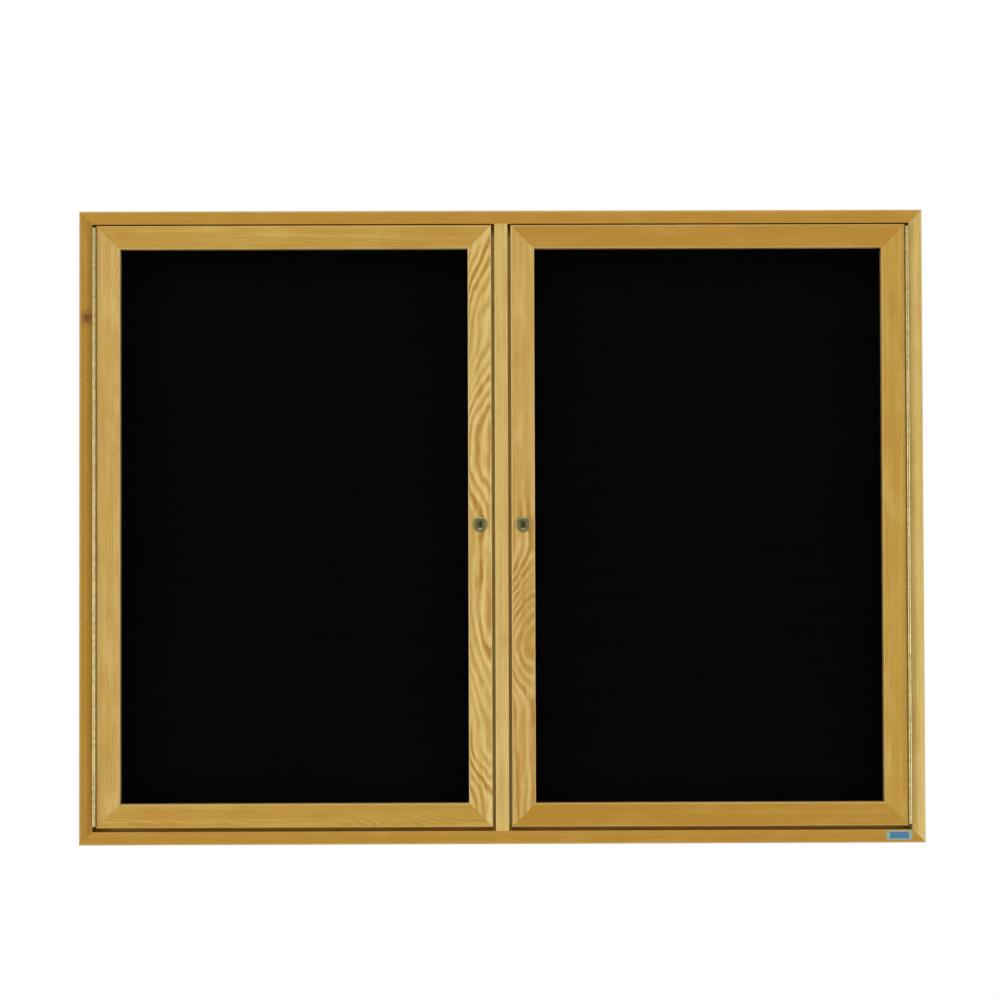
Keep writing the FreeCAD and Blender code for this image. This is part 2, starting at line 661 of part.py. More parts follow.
def make_lock(hand, side):
    """A cam lock: body with face ring, nut, and a plug that turns the cam.

    The threads of the body and of the cam screw are drawn with flats.
    """
    where = (f"{side} * {LOCK_X}", DOOR_FRONT_Y, "Size.lock_height")
    ring_y = "(-Size.bezel_thick)"

    housing = new_body(f"{hand}_lock_body")
    bore = "(Size.plug_radius + Size.plug_play)"
    revolve(housing, [
        (ring_y, bore),
        ("0", bore),
        ("0", "Size.bezel_radius"),
        (f"({ring_y} + Size.bezel_chamfer)", "Size.bezel_radius"),
        (ring_y, "(Size.bezel_radius - Size.bezel_chamfer)"),
    ])
    barrel = new_sketch(housing, "XZ_Plane")
    draw_outline(barrel, regular_polygon(BODY_THREAD_SIDES, "Size.barrel_radius", 0))
    draw_circle(barrel, "0", "0", bore)
    pad(housing, barrel, LOCK_LENGTH, reverse=True)
    place(housing, *where)

    plug = new_body(f"{hand}_lock_plug")
    revolve(plug, [
        (ring_y, "0"),
        (LOCK_LENGTH, "0"),
        (LOCK_LENGTH, "Size.plug_radius"),
        (ring_y, "Size.plug_radius"),
    ])
    keyhole = new_sketch(plug, "XZ_Plane", "Size.bezel_thick")
    half_wide = "(Size.key_slot_wide / 2)"
    half_high = "(Size.key_slot_high / 2)"
    draw_outline(
        keyhole,
        rectangle(f"(-{half_wide})", f"(-{half_high})", half_wide, half_high),
    )
    pocket(plug, keyhole, "Size.key_slot_deep")
    tang = new_sketch(plug, "XZ_Plane", f"(-{LOCK_LENGTH})")
    half_tang = "(Size.tang_size / 2)"
    draw_outline(tang, rectangle(f"(-{half_tang})", f"(-{half_tang})", half_tang, half_tang))
    pad(plug, tang, "Size.cam_thick", reverse=True)
    tapped = new_sketch(plug, "XZ_Plane", f"(-{LOCK_LENGTH} - Size.cam_thick)")
    tapping = "(Size.cam_screw_radius + Size.screw_play)"
    draw_outline(tapped, regular_polygon(SCREW_THREAD_SIDES, tapping, 0))
    pocket(plug, tapped, "Size.cam_screw_length + Size.screw_play", reverse=True)
    place(plug, *where)

    nut = new_body(f"{hand}_lock_nut")
    hexagon = new_sketch(nut, "XZ_Plane")
    draw_outline(hexagon, regular_polygon(6, "(Size.nut_size / 2)", 30))
    tapping = "(Size.barrel_radius + Size.nut_play)"
    draw_outline(hexagon, regular_polygon(BODY_THREAD_SIDES, tapping, 0))
    pad(nut, hexagon, "Size.nut_thick", reverse=True)
    place(nut, where[0], DOOR_BACK_Y, where[2])

    cam = new_body(f"{hand}_lock_cam")
    blade = new_sketch(cam, "XZ_Plane")
    half_cam = "(Size.cam_width / 2)"
    tip = "(-Size.cam_reach)"
    cut_x = f"({half_cam} - Size.cam_chamfer)"
    cut_tip = f"({tip} + Size.cam_chamfer)"
    draw_outline(blade, [
        (f"(-{cut_x})", tip),
        (cut_x, tip),
        (half_cam, cut_tip),
        (half_cam, cut_x),
        (cut_x, half_cam),
        (f"(-{cut_x})", half_cam),
        (f"(-{half_cam})", cut_x),
        (f"(-{half_cam})", cut_tip),
    ])
    half_hole = "(Size.tang_size / 2 + Size.cam_play)"
    draw_outline(blade, rectangle(f"(-{half_hole})", f"(-{half_hole})", half_hole, half_hole))
    pad(cam, blade, "Size.cam_thick", reverse=True)
    place(cam, where[0], CAM_Y, where[2])

    screw = new_body(f"{hand}_lock_cam_screw")
    head = new_sketch(screw, "XZ_Plane")
    draw_outline(head, regular_polygon(6, "(Size.cam_screw_head / 2)", 30))
    pad(screw, head, "Size.cam_screw_rise", reverse=True)
    shank = new_sketch(screw, "XZ_Plane")
    draw_outline(shank, regular_polygon(SCREW_THREAD_SIDES, "Size.cam_screw_radius", 0))
    pad(screw, shank, "Size.cam_screw_length")
    place(screw, where[0], f"{CAM_Y} + Size.cam_thick", where[2])


# The whole board

make_case()
make_mullion()
make_panel("letter_panel", "Size.panel_thick", PANEL_Y)
make_panel("back_panel", "Size.backer_thick", "(-Size.backer_thick)")
for hand, side in (("left", -1), ("right", 1)):
    make_door(hand, side)
    make_hinge(hand, side)
    make_lock(hand, side)
document.recompute()

for thing in document.Objects:
    if "Invalid" in thing.State or "Error" in thing.State:
        raise RuntimeError(f"{thing.Label} is {thing.State}")
for thing in sub_parts:
    if thing.Shape.isNull() or not thing.Shape.isValid():
        raise RuntimeError(f"{thing.Label} has no valid shape")

os.makedirs("parts", exist_ok=True)
for thing in sub_parts:
    thing.Shape.exportStep(f"parts/{thing.Label}.step")
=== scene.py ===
"""The looks of a lockable notice board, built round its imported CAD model.

The file is laid out as a Blender add-on and run as a script. Metres. X runs to the right, Y
towards the wall and Z up, and the origin is the centre of the board's back. The oak, the panes,
the hinge pins and the cams are the CAD pieces with new finishes. The hinge leaves, the other lock
fittings and the two panels are modelled here in full, in the places of their CAD pieces.
"""

import json
import math
from typing import NamedTuple

import bmesh
import bpy
from bpy.props import FloatProperty, FloatVectorProperty, PointerProperty
from mathutils import Matrix, Vector


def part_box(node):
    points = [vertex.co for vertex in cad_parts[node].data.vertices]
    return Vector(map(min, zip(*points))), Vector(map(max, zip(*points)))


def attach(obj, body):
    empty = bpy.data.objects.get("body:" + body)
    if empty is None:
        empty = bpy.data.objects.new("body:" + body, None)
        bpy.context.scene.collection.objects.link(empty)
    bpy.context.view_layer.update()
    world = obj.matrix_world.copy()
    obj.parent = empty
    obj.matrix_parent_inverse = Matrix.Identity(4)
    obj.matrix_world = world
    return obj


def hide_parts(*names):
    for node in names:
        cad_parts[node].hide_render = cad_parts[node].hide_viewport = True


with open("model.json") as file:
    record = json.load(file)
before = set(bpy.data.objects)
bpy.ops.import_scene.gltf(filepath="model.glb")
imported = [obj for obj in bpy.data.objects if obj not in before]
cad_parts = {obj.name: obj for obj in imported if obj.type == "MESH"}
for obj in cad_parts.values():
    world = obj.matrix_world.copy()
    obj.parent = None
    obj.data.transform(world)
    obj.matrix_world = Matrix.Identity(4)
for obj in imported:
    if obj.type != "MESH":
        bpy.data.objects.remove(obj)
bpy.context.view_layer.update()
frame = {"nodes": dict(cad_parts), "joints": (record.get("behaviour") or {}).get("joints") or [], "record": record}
NODES = frame["nodes"]
JOINTS = {joint["name"]: joint for joint in frame["joints"]}
HANDS = {"left": -1, "right": 1}

bl_info = {
    "name": "Notice board finishes",
    "version": (1, 0, 0),
    "blender": (4, 5, 0),
    "location": "View3D > Sidebar > Notice board",
    "description": "Finishes and fine pieces of a lockable oak notice board",
    "category": "Object",
}


# Settings

def colour(name, description, *display):
    """A colour property. Its default comes in 8-bit display numbers and is kept linear."""
    parts = [part / 255 for part in display]
    linear = [
        part / 12.92 if part <= 0.04045 else ((part + 0.055) / 1.055) ** 2.4 for part in parts
    ]
    return FloatVectorProperty(
        name=name, description=description, subtype="COLOR", min=0, max=1, default=linear
    )


def length(name, description, millimetres):
    """A length property with its default in millimetres."""
    return FloatProperty(
        name=name, description=description, unit="LENGTH", precision=5, default=millimetres / 1000
    )


def degrees(name, description, amount):
    """An angle property with its default in degrees."""
    return FloatProperty(
        name=name, description=description, subtype="ANGLE", default=math.radians(amount)
    )


class BoardColours(bpy.types.PropertyGroup):
    """The colours of the board's materials."""

    umber: colour("Umber oak", "Darkest tone of the oak", 164, 122, 26)
    amber: colour("Amber oak", "Dark tone of the oak", 176, 130, 32)
    honey: colour("Honey oak", "Middle tone of the oak", 186, 146, 54)
    straw: colour("Straw oak", "Light tone of the oak", 194, 158, 80)
    cream: colour("Cream oak", "Palest tone of the oak", 209, 180, 100)
    grain: colour("Grain", "Porous early wood of each year's ring", 172, 124, 40)
    pore: colour("Pore", "Open pores and dark fibres", 92, 56, 14)
    knot: colour("Knot", "Small knot in the case's left side", 106, 54, 2)
    # Edge is the painted highlight on the rounded edges and chamfers of the oak, and also the palest wood tone of
    # the straw and cream boards
    edge: colour("Edge", "Thin lacquer on the edges of the mouldings", 226, 196, 128)
    birch: colour("Birch", "Loose keys in the mitres", 213, 188, 146)
    felt: colour("Felt", "Flocked face of the letter panel", 4, 4, 4)
    hardboard: colour("Hardboard", "Pressed brown fibre of the back", 122, 86, 56)
    brass: colour("Brass", "Plating of the hinges", 181, 165, 114)
    tarnish: colour("Tarnish", "Dull patches on the brass", 128, 112, 63)
    nickel: colour("Nickel", "Plating of the locks", 154, 148, 104)
    grime: colour("Grime", "Dark film on the nickel and the zinc", 73, 69, 41)
    zinc: colour("Zinc", "Plating of the small steel pieces", 186, 188, 184)
    label_field: colour("Label field", "Blank middle of the small label", 56, 110, 150)
    label_rim: colour("Label rim", "Pale edge of the small label", 142, 158, 134)


class BoardSizes(bpy.types.PropertyGroup):
    """The sizes of the pieces that are modelled here."""

    groove_pitch: length("Groove pitch", "Distance between grooves of the letter panel", 6.35)
    groove_width: length("Groove width", "Width of a groove", 1.2)
    groove_depth: length("Groove depth", "Depth of a groove", 3.4)
    groove_lip: length("Groove lip", "Rounding of the felt beside a groove", 0.5)
    knuckle_pitch: length("Knuckle pitch", "Length of a hinge knuckle with its gap", 12.7)
    knuckle_gap: length("Knuckle gap", "Gap between two knuckles", 0.45)
    leaf_thick: length("Leaf thickness", "Thickness of a hinge leaf", 1.2)
    leaf_relief: length("Leaf relief", "Clearance behind a knuckle of the other leaf", 0.4)
    screw_spacing: length("Screw spacing", "Distance between the screws of a hinge leaf", 50.8)
    screw_head: length("Screw head", "Radius of the head of a hinge screw", 2.9)
    brad_spacing: length("Brad spacing", "Distance between the brads of a glazing bead", 110)
    brad_head: length("Brad head", "Radius of the head of a brad", 0.9)
    brad_inset: length("Brad inset", "Distance of a brad from the bead's outer edge", 1.7)
    staple_spacing: length("Staple spacing", "Distance between the staples of the back", 90)
    staple_inset: length("Staple inset", "Distance of the staples from the back's edge", 6)
    thread_radius: length("Thread radius", "Radius of a lock's threaded barrel", 9.5)
    thread_pitch: length("Thread pitch", "Pitch of the thread", 1.0)
    tang: length("Tang", "Side of the square that carries a cam", 7)
    cam_screw: length("Cam screw", "Radius of the shank of a cam screw", 1.8)
    keyhole_width: length("Keyhole width", "Width of a keyhole", 2)
    keyhole_height: length("Keyhole height", "Height of a keyhole", 8)
    rail_face: length("Rail face", "Height of the case's rail up to the doors", 19.05)
    bevel_width: length("Bevel width", "Width of the case's bevel beside the doors", 7)
    label_width: length("Label width", "Width of the small label", 37.5)
    label_height: length("Label height", "Height of the small label", 13.6)
    label_right: length("Label right", "Place of the label's right end", 589.8)
    label_drop: length("Label drop", "Distance of the label below the rail's upper edge", 1.2)
    label_corner: length("Label corner", "Rounding of the label's corners", 1.2)
    label_rim_side: length("Label rim, sides", "Width of the rim at the label's sides", 5.0)
    label_rim_end: length("Label rim, ends", "Width of the rim above and below", 2.2)
    label_thick: length("Label thickness", "Thickness of the label", 0.3)


class StudioSettings(bpy.types.PropertyGroup):
    """The camera and the light."""

    camera_distance: length("Distance", "Distance of the camera from the wall", 3500)
    camera_side: length("Side", "How far right of the board's middle the camera stands", -17.6)
    camera_height: length("Height", "How far above the board's middle the camera stands", -32.3)
    camera_pan: degrees("Pan", "Turn to the right", 0.254)
    camera_tilt: degrees("Tilt", "Turn upwards", 1.173)
    camera_roll: degrees("Roll", "Lean of the camera", -0.182)
    focal_length: FloatProperty(
        name="Focal length", description="Lens on a 36 mm wide sensor, in mm", default=85.92
    )
    floor_depth: length("Floor depth", "How far the floor lies below the board's middle", 1500)
    ambient: FloatProperty(name="Ambient", description="Light from all round", default=0.48)
    lamp_power: FloatProperty(name="Lamp power", description="Watts of a softbox", default=52)


GROUPS = {"board_colours": BoardColours, "board_sizes": BoardSizes, "studio": StudioSettings}


def tint(name):
    """A colour of the board with full alpha."""
    return (*getattr(bpy.context.scene.board_colours, name), 1)


def size(name):
    """A size of the board in metres."""
    return getattr(bpy.context.scene.board_sizes, name)


# Shader nodes

def arithmetic(operation, swapped=False):
    """The method of a Python operator, which adds a Math node."""
    def method(self, *others):
        values = (*others, self) if swapped else (self, *others)
        return self.nodes.math(operation, *values)

    return method


class Signal:
    """A value in a node tree, to be used in Python expressions."""

    __add__ = __radd__ = arithmetic("ADD")
    __sub__ = arithmetic("SUBTRACT")
    __rsub__ = arithmetic("SUBTRACT", swapped=True)
    __mul__ = __rmul__ = arithmetic("MULTIPLY")
    __truediv__ = arithmetic("DIVIDE")
    __pow__ = arithmetic("POWER")
    __abs__ = arithmetic("ABSOLUTE")

    def __init__(self, nodes, socket):
        self.nodes = nodes
        self.socket = socket


class Nodes:
    """The node tree of a material or a world."""

    def __init__(self, tree):
        self.tree = tree
        self.tree.nodes.clear()

    def add(self, kind, settings=None, inputs=None, output=0):
        """Adds a node, sets it up, fills its sockets and gives back one of its outputs."""
        node = self.tree.nodes.new(kind)
        for name, setting in (settings or {}).items():
            setattr(node, name, setting)
        for key, content in (inputs or {}).items():
            socket = node.inputs[key]
            if isinstance(content, Signal):
                self.tree.links.new(content.socket, socket)
            else:
                socket.default_value = content
        return Signal(self, node.outputs[output]) if node.outputs else None

    def math(self, operation, *values):
        """One Math node on the values."""
        settings = {"operation": operation}
        return self.add("ShaderNodeMath", settings, dict(enumerate(values)))

    def axes(self, vector):
        """The X, Y and Z of a vector."""
        split = self.add("ShaderNodeSeparateXYZ", inputs={0: vector})
        outputs = split.socket.node.outputs
        return [Signal(self, outputs[index]) for index in range(3)]

    def vector(self, x, y, z):
        """A vector from its X, Y and Z."""
        return self.add("ShaderNodeCombineXYZ", inputs={0: x, 1: y, 2: z})

    def noise(self, place, scale, detail=2.0, roughness=0.5):
        """Soft noise from 0 to 1, around 0.5."""
        inputs = {"Vector": place, "Scale": scale, "Detail": detail, "Roughness": roughness}
        return self.add("ShaderNodeTexNoise", {"noise_dimensions": "3D"}, inputs)

    def random(self, number):
        """A number from 0 to 1 that jumps where a whole number changes."""
        settings = {"noise_dimensions": "1D"}
        return self.add("ShaderNodeTexWhiteNoise", settings, {"W": number})

    def ease(self, value, start, full):
        """0 at start, 1 at full and smooth between them. start may be above full."""
        settings = {"interpolation_type": "SMOOTHSTEP"}
        if start > full:
            return 1 - self.ease(value, full, start)
        return self.add("ShaderNodeMapRange", settings, {0: value, 1: start, 2: full})

    def band(self, value, one_side, other_side):
        """1 in a band. Each of its sides is given as where it starts and where it is full."""
        return self.ease(value, *one_side) * self.ease(value, *other_side)

    def mix(self, factor, first, second):
        """A mix of two colours."""
        settings = {"data_type": "RGBA"}
        inputs = {0: factor, 6: first, 7: second}
        return self.add("ShaderNodeMix", settings, inputs, output=2)

    def coats(self, ground, layers):
        """A named colour under layers, each given as its share and the name of its colour."""
        paint = tint(ground)
        for share, name in layers:
            paint = self.mix(share, paint, tint(name))
        return paint

    def bump(self, height, distance, strength=1.0):
        """A normal that leans with a height from 0 to 1 over a distance in metres."""
        inputs = {"Height": height, "Distance": distance, "Strength": strength}
        return self.add("ShaderNodeBump", inputs=inputs, output="Normal")


def new_material(name):
    """A material, its empty node tree, and the place on the piece in the frame at rest."""
    material = bpy.data.materials.new(name)
    material.use_nodes = True
    nodes = Nodes(material.node_tree)
    return material, nodes, nodes.add("ShaderNodeTexCoord", output="Object")


def surface(nodes, inputs, share=None, other=None):
    """Ends a material in a surface shader, of which another shader may take a share."""
    shader = nodes.add("ShaderNodeBsdfPrincipled", inputs=inputs)
    if other:
        shader = nodes.add("ShaderNodeMixShader", inputs={0: share, 1: shader, 2: other})
    nodes.add("ShaderNodeOutputMaterial", inputs={"Surface": shader})


def inside_edges(x, z, low, high):
    """How far a place lies inside a box seen from the front, from its sides and from its ends."""
    middle, half = (low + high) / 2, (high - low) / 2
    return half.x - abs(x - middle.x), half.z - abs(z - middle.z)


# Oak

class Board(NamedTuple):
    """How a member was cut from the log.

    The rings come out as nested arches round a line along the member. arch_axis is the line's
    distance from the member's middle; far from it the grain is straight. first_ring is the
    distance from the line to the first ring. Each of the arches is a stretch along the member
    and the number of rings that close over it. The figure fades out over the stretch plain.
    """

    along: str
    tone: str
    arch_axis: float = 0.2
    first_ring: float = 0.036
    arches: tuple = ()
    contrast: float = 0.4
    plain: tuple = (9.0, 10.0)


BOARDS = {
    "case_top_rail": Board("X", "amber"),
    "case_bottom_rail": Board("X", "amber"),
    "case_left_side": Board("Z", "umber"),
    "case_right_side": Board("Z", "cream"),
    "mullion": Board("Z", "cream", contrast=0.25),
    "left_door_top_rail": Board("X", "honey", -0.11, 0.030, ((-0.42, -0.1, 3.0),)),
    "left_door_bottom_rail": Board(
        "X", "honey", -0.016, 0.011, ((-0.55, -0.35, 4.0), (-0.26, -0.05, 9.0)), 0.6
    ),
    "left_door_hinge_stile": Board("Z", "straw", 0.09, 0.027, ((0.3, 0.42, 3.0),)),
    "left_door_lock_stile": Board(
        "Z", "cream", 0.028, 0.027,
        (
            (0.28, 0.44, 4.0), (0.12, 0.29, 6.0), (0.105, 0.0, 3.0),
            (-0.12, -0.3, 3.0), (-0.31, -0.4, 4.0),
        ),
        1.2,
    ),
    "right_door_top_rail": Board("X", "amber", 0.12, 0.031, ((0.2, 0.5, 3.0),)),
    "right_door_bottom_rail": Board("X", "amber", 0.03, 0.015, ((0.2, 0.45, 6.0),)),
    "right_door_hinge_stile": Board("Z", "honey", -0.07, 0.024, ((-0.1, -0.4, 4.0),)),
    "right_door_lock_stile": Board(
        "Z", "straw", 0.025, 0.025, ((-0.17, -0.02, 7.0), (-0.17, -0.27, 4.0)), 1.1, (-0.02, 0.1)
    ),
}
TONES = ("umber", "amber", "honey", "straw", "cream", "edge")
KNOT = {"node": "case_left_side", "z": 0.3035, "x": -0.5975, "radius": 0.0075}


def board_of(node):
    """How a node's board was cut. The glazing beads are plain straight wood."""
    level = "_top_" in node or "_bottom_" in node
    return BOARDS.get(node) or Board("X" if level else "Z", "straw")


def mitre_line(nodes, node, x, z):
    """1 on the joint between two members of a mitred frame, and 0 away from it."""
    hand = node.split("_")[0]
    family = f"{hand}_door" if hand in HANDS else hand
    low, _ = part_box(f"{family}_bottom_rail")
    _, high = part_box(f"{family}_top_rail")
    from_side, from_end = inside_edges(x, z, low, high)
    faint, full = 0.0006, 0.0001
    return nodes.ease(abs(from_side - from_end), faint, full)


def oak(node, seed):
    """Clear-lacquered red oak, with the rings of the node's board."""
    cut = board_of(node)
    knotty = node == KNOT["node"]
    material, nodes, place = new_material(f"oak_{node}")
    x, y, z = nodes.axes(place)
    low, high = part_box(node)
    middle = (low + high) / 2
    along, across = (x, z - middle.z) if cut.along == "X" else (z, x - middle.x)
    depth = y - low.y

    def grain(lengthwise, crosswise, detail, inwards=None):
        """Noise drawn out along the board, by how fast it changes in each direction."""
        inwards = crosswise if inwards is None else inwards
        spot = nodes.vector(along * lengthwise, across * crosswise, depth * inwards + seed)
        return nodes.noise(spot, 1.0, detail)

    # Rings: a whole number at the start of each year, and where in the year a place lies
    rings = ((across - cut.arch_axis) / cut.first_ring) ** 2 + depth * 260
    for start, end, closed in cut.arches:
        rings = rings + nodes.ease(along, start, end) * closed
    if knotty:
        smudge = nodes.noise(place, 210, 2) - 0.5
        far = ((x - KNOT["x"]) ** 2 + (z - KNOT["z"]) ** 2) ** 0.5 + smudge * 0.008
        rings = rings + nodes.ease(far, KNOT["radius"] * 5, 0) * 4
    sway = grain(5, 14, 1, inwards=0) - 0.5
    ripple = grain(22, 90, 1) - 0.5
    rings = rings + sway * 2.6 + ripple * 0.9 + seed
    turn = nodes.math("FRACT", rings)
    year = nodes.math("FLOOR", rings)
    strength = (0.4 + nodes.random(year) * 0.8) * nodes.ease(grain(16, 60, 2), 0.22, 0.55)
    strength = strength * (1 - nodes.ease(along, *cut.plain) * 0.85)
    early = nodes.band(turn, (0.0, 0.2), (0.8, 0.3)) * strength
    late = nodes.band(turn, (0.55, 0.8), (1.0, 0.85)) * strength

    fibre = grain(26, 900, 3)
    streak = grain(4, 150, 2)
    cloud = grain(14, 40, 2)
    rays = nodes.ease(grain(90, 500, 1, inwards=90), 0.66, 0.74)
    pores = nodes.ease(grain(130, 2600, 1), 0.58, 0.7) * (0.25 + early * 0.75)

    # How squarely a face looks to the front: rounded edges and chamfers get a painted highlight, the low bevels of
    # the case's sides a painted shade
    squarely = abs(nodes.axes(nodes.add("ShaderNodeTexCoord", output="Normal"))[1])
    painted_edge_highlight = nodes.band(squarely, (0.99, 0.86), (0.35, 0.5))
    painted_bevel_shade = nodes.band(squarely, (0.995, 0.985), (0.93, 0.96))

    paler = TONES[min(TONES.index(cut.tone) + 2, len(TONES) - 1)]
    layers = [
        (early * cut.contrast * 0.9, "grain"),
        (late * cut.contrast * 0.45, paler),
        (nodes.ease(streak, 0.42, 0.75) * 0.35, "grain"),
        (nodes.ease(streak, 0.45, 0.25) * 0.3, paler),
        (nodes.ease(cloud, 0.5, 0.8) * 0.35, paler),
        (nodes.ease(cloud, 0.48, 0.25) * 0.35, "grain"),
        (nodes.ease(fibre, 0.5, 0.8) * 0.12, "pore"),
        (rays * 0.1, "pore"),
        (pores * 0.4, "pore"),
    ]
    if knotty:
        halo = nodes.ease(far, KNOT["radius"] * 2.3, KNOT["radius"] * 0.6)
        core = nodes.ease(far, KNOT["radius"] * 0.95, KNOT["radius"] * 0.45)
        layers.append((halo * 0.5 + core * 0.4, "knot"))
    if "bead" not in node and node != "mullion":
        layers.append((mitre_line(nodes, node, x, z) * 0.4, "pore"))
    # Painted highlight on the rounded edges and chamfers
    layers.append((painted_edge_highlight * 0.45, "edge"))
    # Painted shade on the low bevels of the case's sides beside the doors, in the pore colour
    if "_side" in node:
        layers.append((painted_bevel_shade * 0.2, "pore"))

    surface(nodes, {
        "Base Color": nodes.coats(cut.tone, layers),
        "Roughness": 0.38 + pores * 0.25 + streak * 0.1,
        "Normal": nodes.bump(1 - pores * 0.8 - early * 0.15 + fibre * 0.08, 0.00012),
        "Specular IOR Level": 0.3,
        "Coat Weight": 0.3,
        "Coat Roughness": 0.16,
    })
    return material


def birch(name):
    """Plain pale wood with a fine straight grain, for the hidden keys."""
    material, nodes, place = new_material(name)
    x, y, z = nodes.axes(place)
    grain = nodes.noise(nodes.vector((x + z) * 60, y * 60, (x - z) * 900), 1.0, 3)
    surface(nodes, {
        "Base Color": nodes.mix(nodes.ease(grain, 0.3, 0.8) * 0.3, tint("birch"), tint("grain")),
        "Roughness": 0.6 + grain * 0.15,
        "Normal": nodes.bump(grain, 0.0001),
    })
    return material


# Sheets and panes

def felt(name):
    """Short black flock: matt, with fibres that stand every way and a faint sheen."""
    material, nodes, place = new_material(name)
    fibres = nodes.noise(place, 2600, 3, 0.7)
    nap = nodes.noise(place, 35, 3)
    shade = (0.0008, 0.0008, 0.0009, 1)
    lit = nodes.ease(nap, 0.35, 0.8) * 0.5 + fibres * 0.3
    surface(nodes, {
        "Base Color": nodes.mix(lit, shade, tint("felt")),
        "Roughness": 0.92 + nap * 0.08,
        "Normal": nodes.bump(fibres, 0.0003),
        "Specular IOR Level": 0.02,
        "Sheen Weight": 0.004,
        "Sheen Roughness": 0.5,
    })
    return material


def hardboard(name, back_y):
    """Pressed brown fibre, smooth in front, with the mark of the wire screen on its back."""
    material, nodes, place = new_material(name)
    x, y, z = nodes.axes(place)
    fibre = nodes.noise(place, 420, 4, 0.7)
    mottle = nodes.noise(place, 18, 3)
    wires = 1100
    screen = abs(nodes.math("SINE", x * wires)) * abs(nodes.math("SINE", z * wires))
    on_back = nodes.ease(y, back_y - 0.0004, back_y - 0.0002)
    shade = nodes.ease(mottle, 0.3, 0.75) * 0.35 + nodes.ease(fibre, 0.45, 0.8) * 0.4
    shade = shade + on_back * (1 - screen) * 0.15
    surface(nodes, {
        "Base Color": nodes.mix(shade, tint("hardboard"), tint("pore")),
        "Roughness": 0.62 + fibre * 0.2,
        "Normal": nodes.bump(fibre * 0.3 + on_back * screen, 0.0002),
    })
    return material


def pane(name):
    """Clear polished sheet that lets the lamps through, with a little dust."""
    material, nodes, place = new_material(name)
    waves = nodes.noise(place, 9, 1)
    dust = nodes.ease(nodes.noise(place, 300, 4, 0.7), 0.62, 0.8)
    clean, dusty = (0.985, 0.995, 0.99, 1), (0.85, 0.85, 0.83, 1)
    shadowed = (0.96, 0.97, 0.965, 1)
    clear = nodes.add("ShaderNodeBsdfTransparent", inputs={"Color": shadowed})
    in_shadow = nodes.add("ShaderNodeLightPath", output="Is Shadow Ray")
    surface(nodes, {
        "Base Color": nodes.mix(dust * 0.06, clean, dusty),
        "Roughness": 0.0,
        "IOR": 1.42,
        "Transmission Weight": 1.0,
        "Normal": nodes.bump(waves, 0.0004, 0.15),
    }, in_shadow, clear)
    return material


# Metals

def plated(name, clean, dull, roughness, brush_scale, patch=0.5):
    """Plated metal with dull patches and fine brush marks.

    brush_scale is how fast the marks change along X, Y and Z, and patch how much dull shows.
    """
    material, nodes, place = new_material(name)
    scaled = [part * scale for part, scale in zip(nodes.axes(place), brush_scale)]
    marks = nodes.noise(nodes.vector(*scaled), 1.0, 2)
    patches = nodes.noise(place, 160, 4, 0.65)
    film = nodes.ease(patches, 0.35, 0.75) * patch
    surface(nodes, {
        "Base Color": nodes.mix(film, tint(clean), tint(dull)),
        "Metallic": 1.0,
        "Roughness": roughness + film * 0.2 + marks * 0.1,
        "Normal": nodes.bump(marks, 0.00004),
    })
    return material


def lock_nickel(name, axis):
    """Dull nickel, turned: fine rings round the lock's axis and dark film in patches and along the rings."""
    material, nodes, place = new_material(name)
    x, y, z = nodes.axes(place)
    radius = ((x - axis.x) ** 2 + (z - axis.z) ** 2) ** 0.5
    rings = nodes.noise(nodes.vector(radius * 3000, y * 3000, 0), 1.0, 2)
    patches = nodes.noise(place, 420, 4, 0.65)
    film = nodes.ease(patches, 0.3, 0.7) * 0.55 + nodes.ease(rings, 0.4, 0.8) * 0.2
    surface(nodes, {
        "Base Color": nodes.mix(film, tint("nickel"), tint("grime")),
        "Metallic": 1.0,
        "Roughness": 0.26 + film * 0.25,
        "Normal": nodes.bump(rings, 0.00003),
    })
    return material


def label_sheet(name, low, high):
    """Printed sheet: a plain field inside a pale rim, with fine print grain."""
    material, nodes, place = new_material(name)
    x, _, z = nodes.axes(place)
    from_side, from_end = inside_edges(x, z, low, high)
    inside = nodes.math(
        "MINIMUM", from_side - size("label_rim_side"), from_end - size("label_rim_end")
    )
    grain = nodes.noise(place, 1500, 2)
    fade = nodes.noise(place, 70, 2)
    field = nodes.mix(fade * 0.15, tint("label_field"), tint("label_rim"))
    surface(nodes, {
        "Base Color": nodes.mix(nodes.ease(inside, -0.0002, 0.0002), tint("label_rim"), field),
        "Roughness": 0.34 + grain * 0.15,
        "Normal": nodes.bump(grain, 0.00002),
    })
    return material


# Modelling tools

SMOOTH_BELOW = math.radians(35)
MERGE_WITHIN = 1e-7
TO_FRONT = (0, -1, 0)
TO_WALL = (0, 1, 0)


def skin(mesh, loops, cap_first=True, cap_last=True):
    """Joins closed loops of equally many points, and closes the first and the last."""
    rings = [[mesh.verts.new(point) for point in loop] for loop in loops]
    for near, far in zip(rings, rings[1:]):
        for index, start in enumerate(near):
            after = (index + 1) % len(near)
            mesh.faces.new((start, near[after], far[after], far[index]))
    if cap_first:
        mesh.faces.new(rings[0][::-1])
    if cap_last:
        mesh.faces.new(rings[-1])


def ring(height, radius, points):
    """A loop round the Z axis. radius is a number or a function of the angle."""
    loop = []
    for index in range(points):
        angle = math.tau * index / points
        reach = radius(angle) if callable(radius) else radius
        loop.append(Vector((reach * math.cos(angle), reach * math.sin(angle), height)))
    return loop


def rectangle(low, high, y, inset=0.0):
    """A loop across the Y axis, smaller than its box by an inset."""
    left, right = low.x + inset, high.x - inset
    bottom, top = low.z + inset, high.z - inset
    corners = ((left, bottom), (right, bottom), (right, top), (left, top))
    return [Vector((x, y, z)) for x, z in corners]


def polygon(sides, apothem, most=math.inf):
    """The radius of a regular polygon by angle, cut off at most by a circle."""
    step = math.tau / sides

    def radius(angle):
        off = (angle + step / 2) % step - step / 2
        return min(apothem / math.cos(off), most)

    return radius


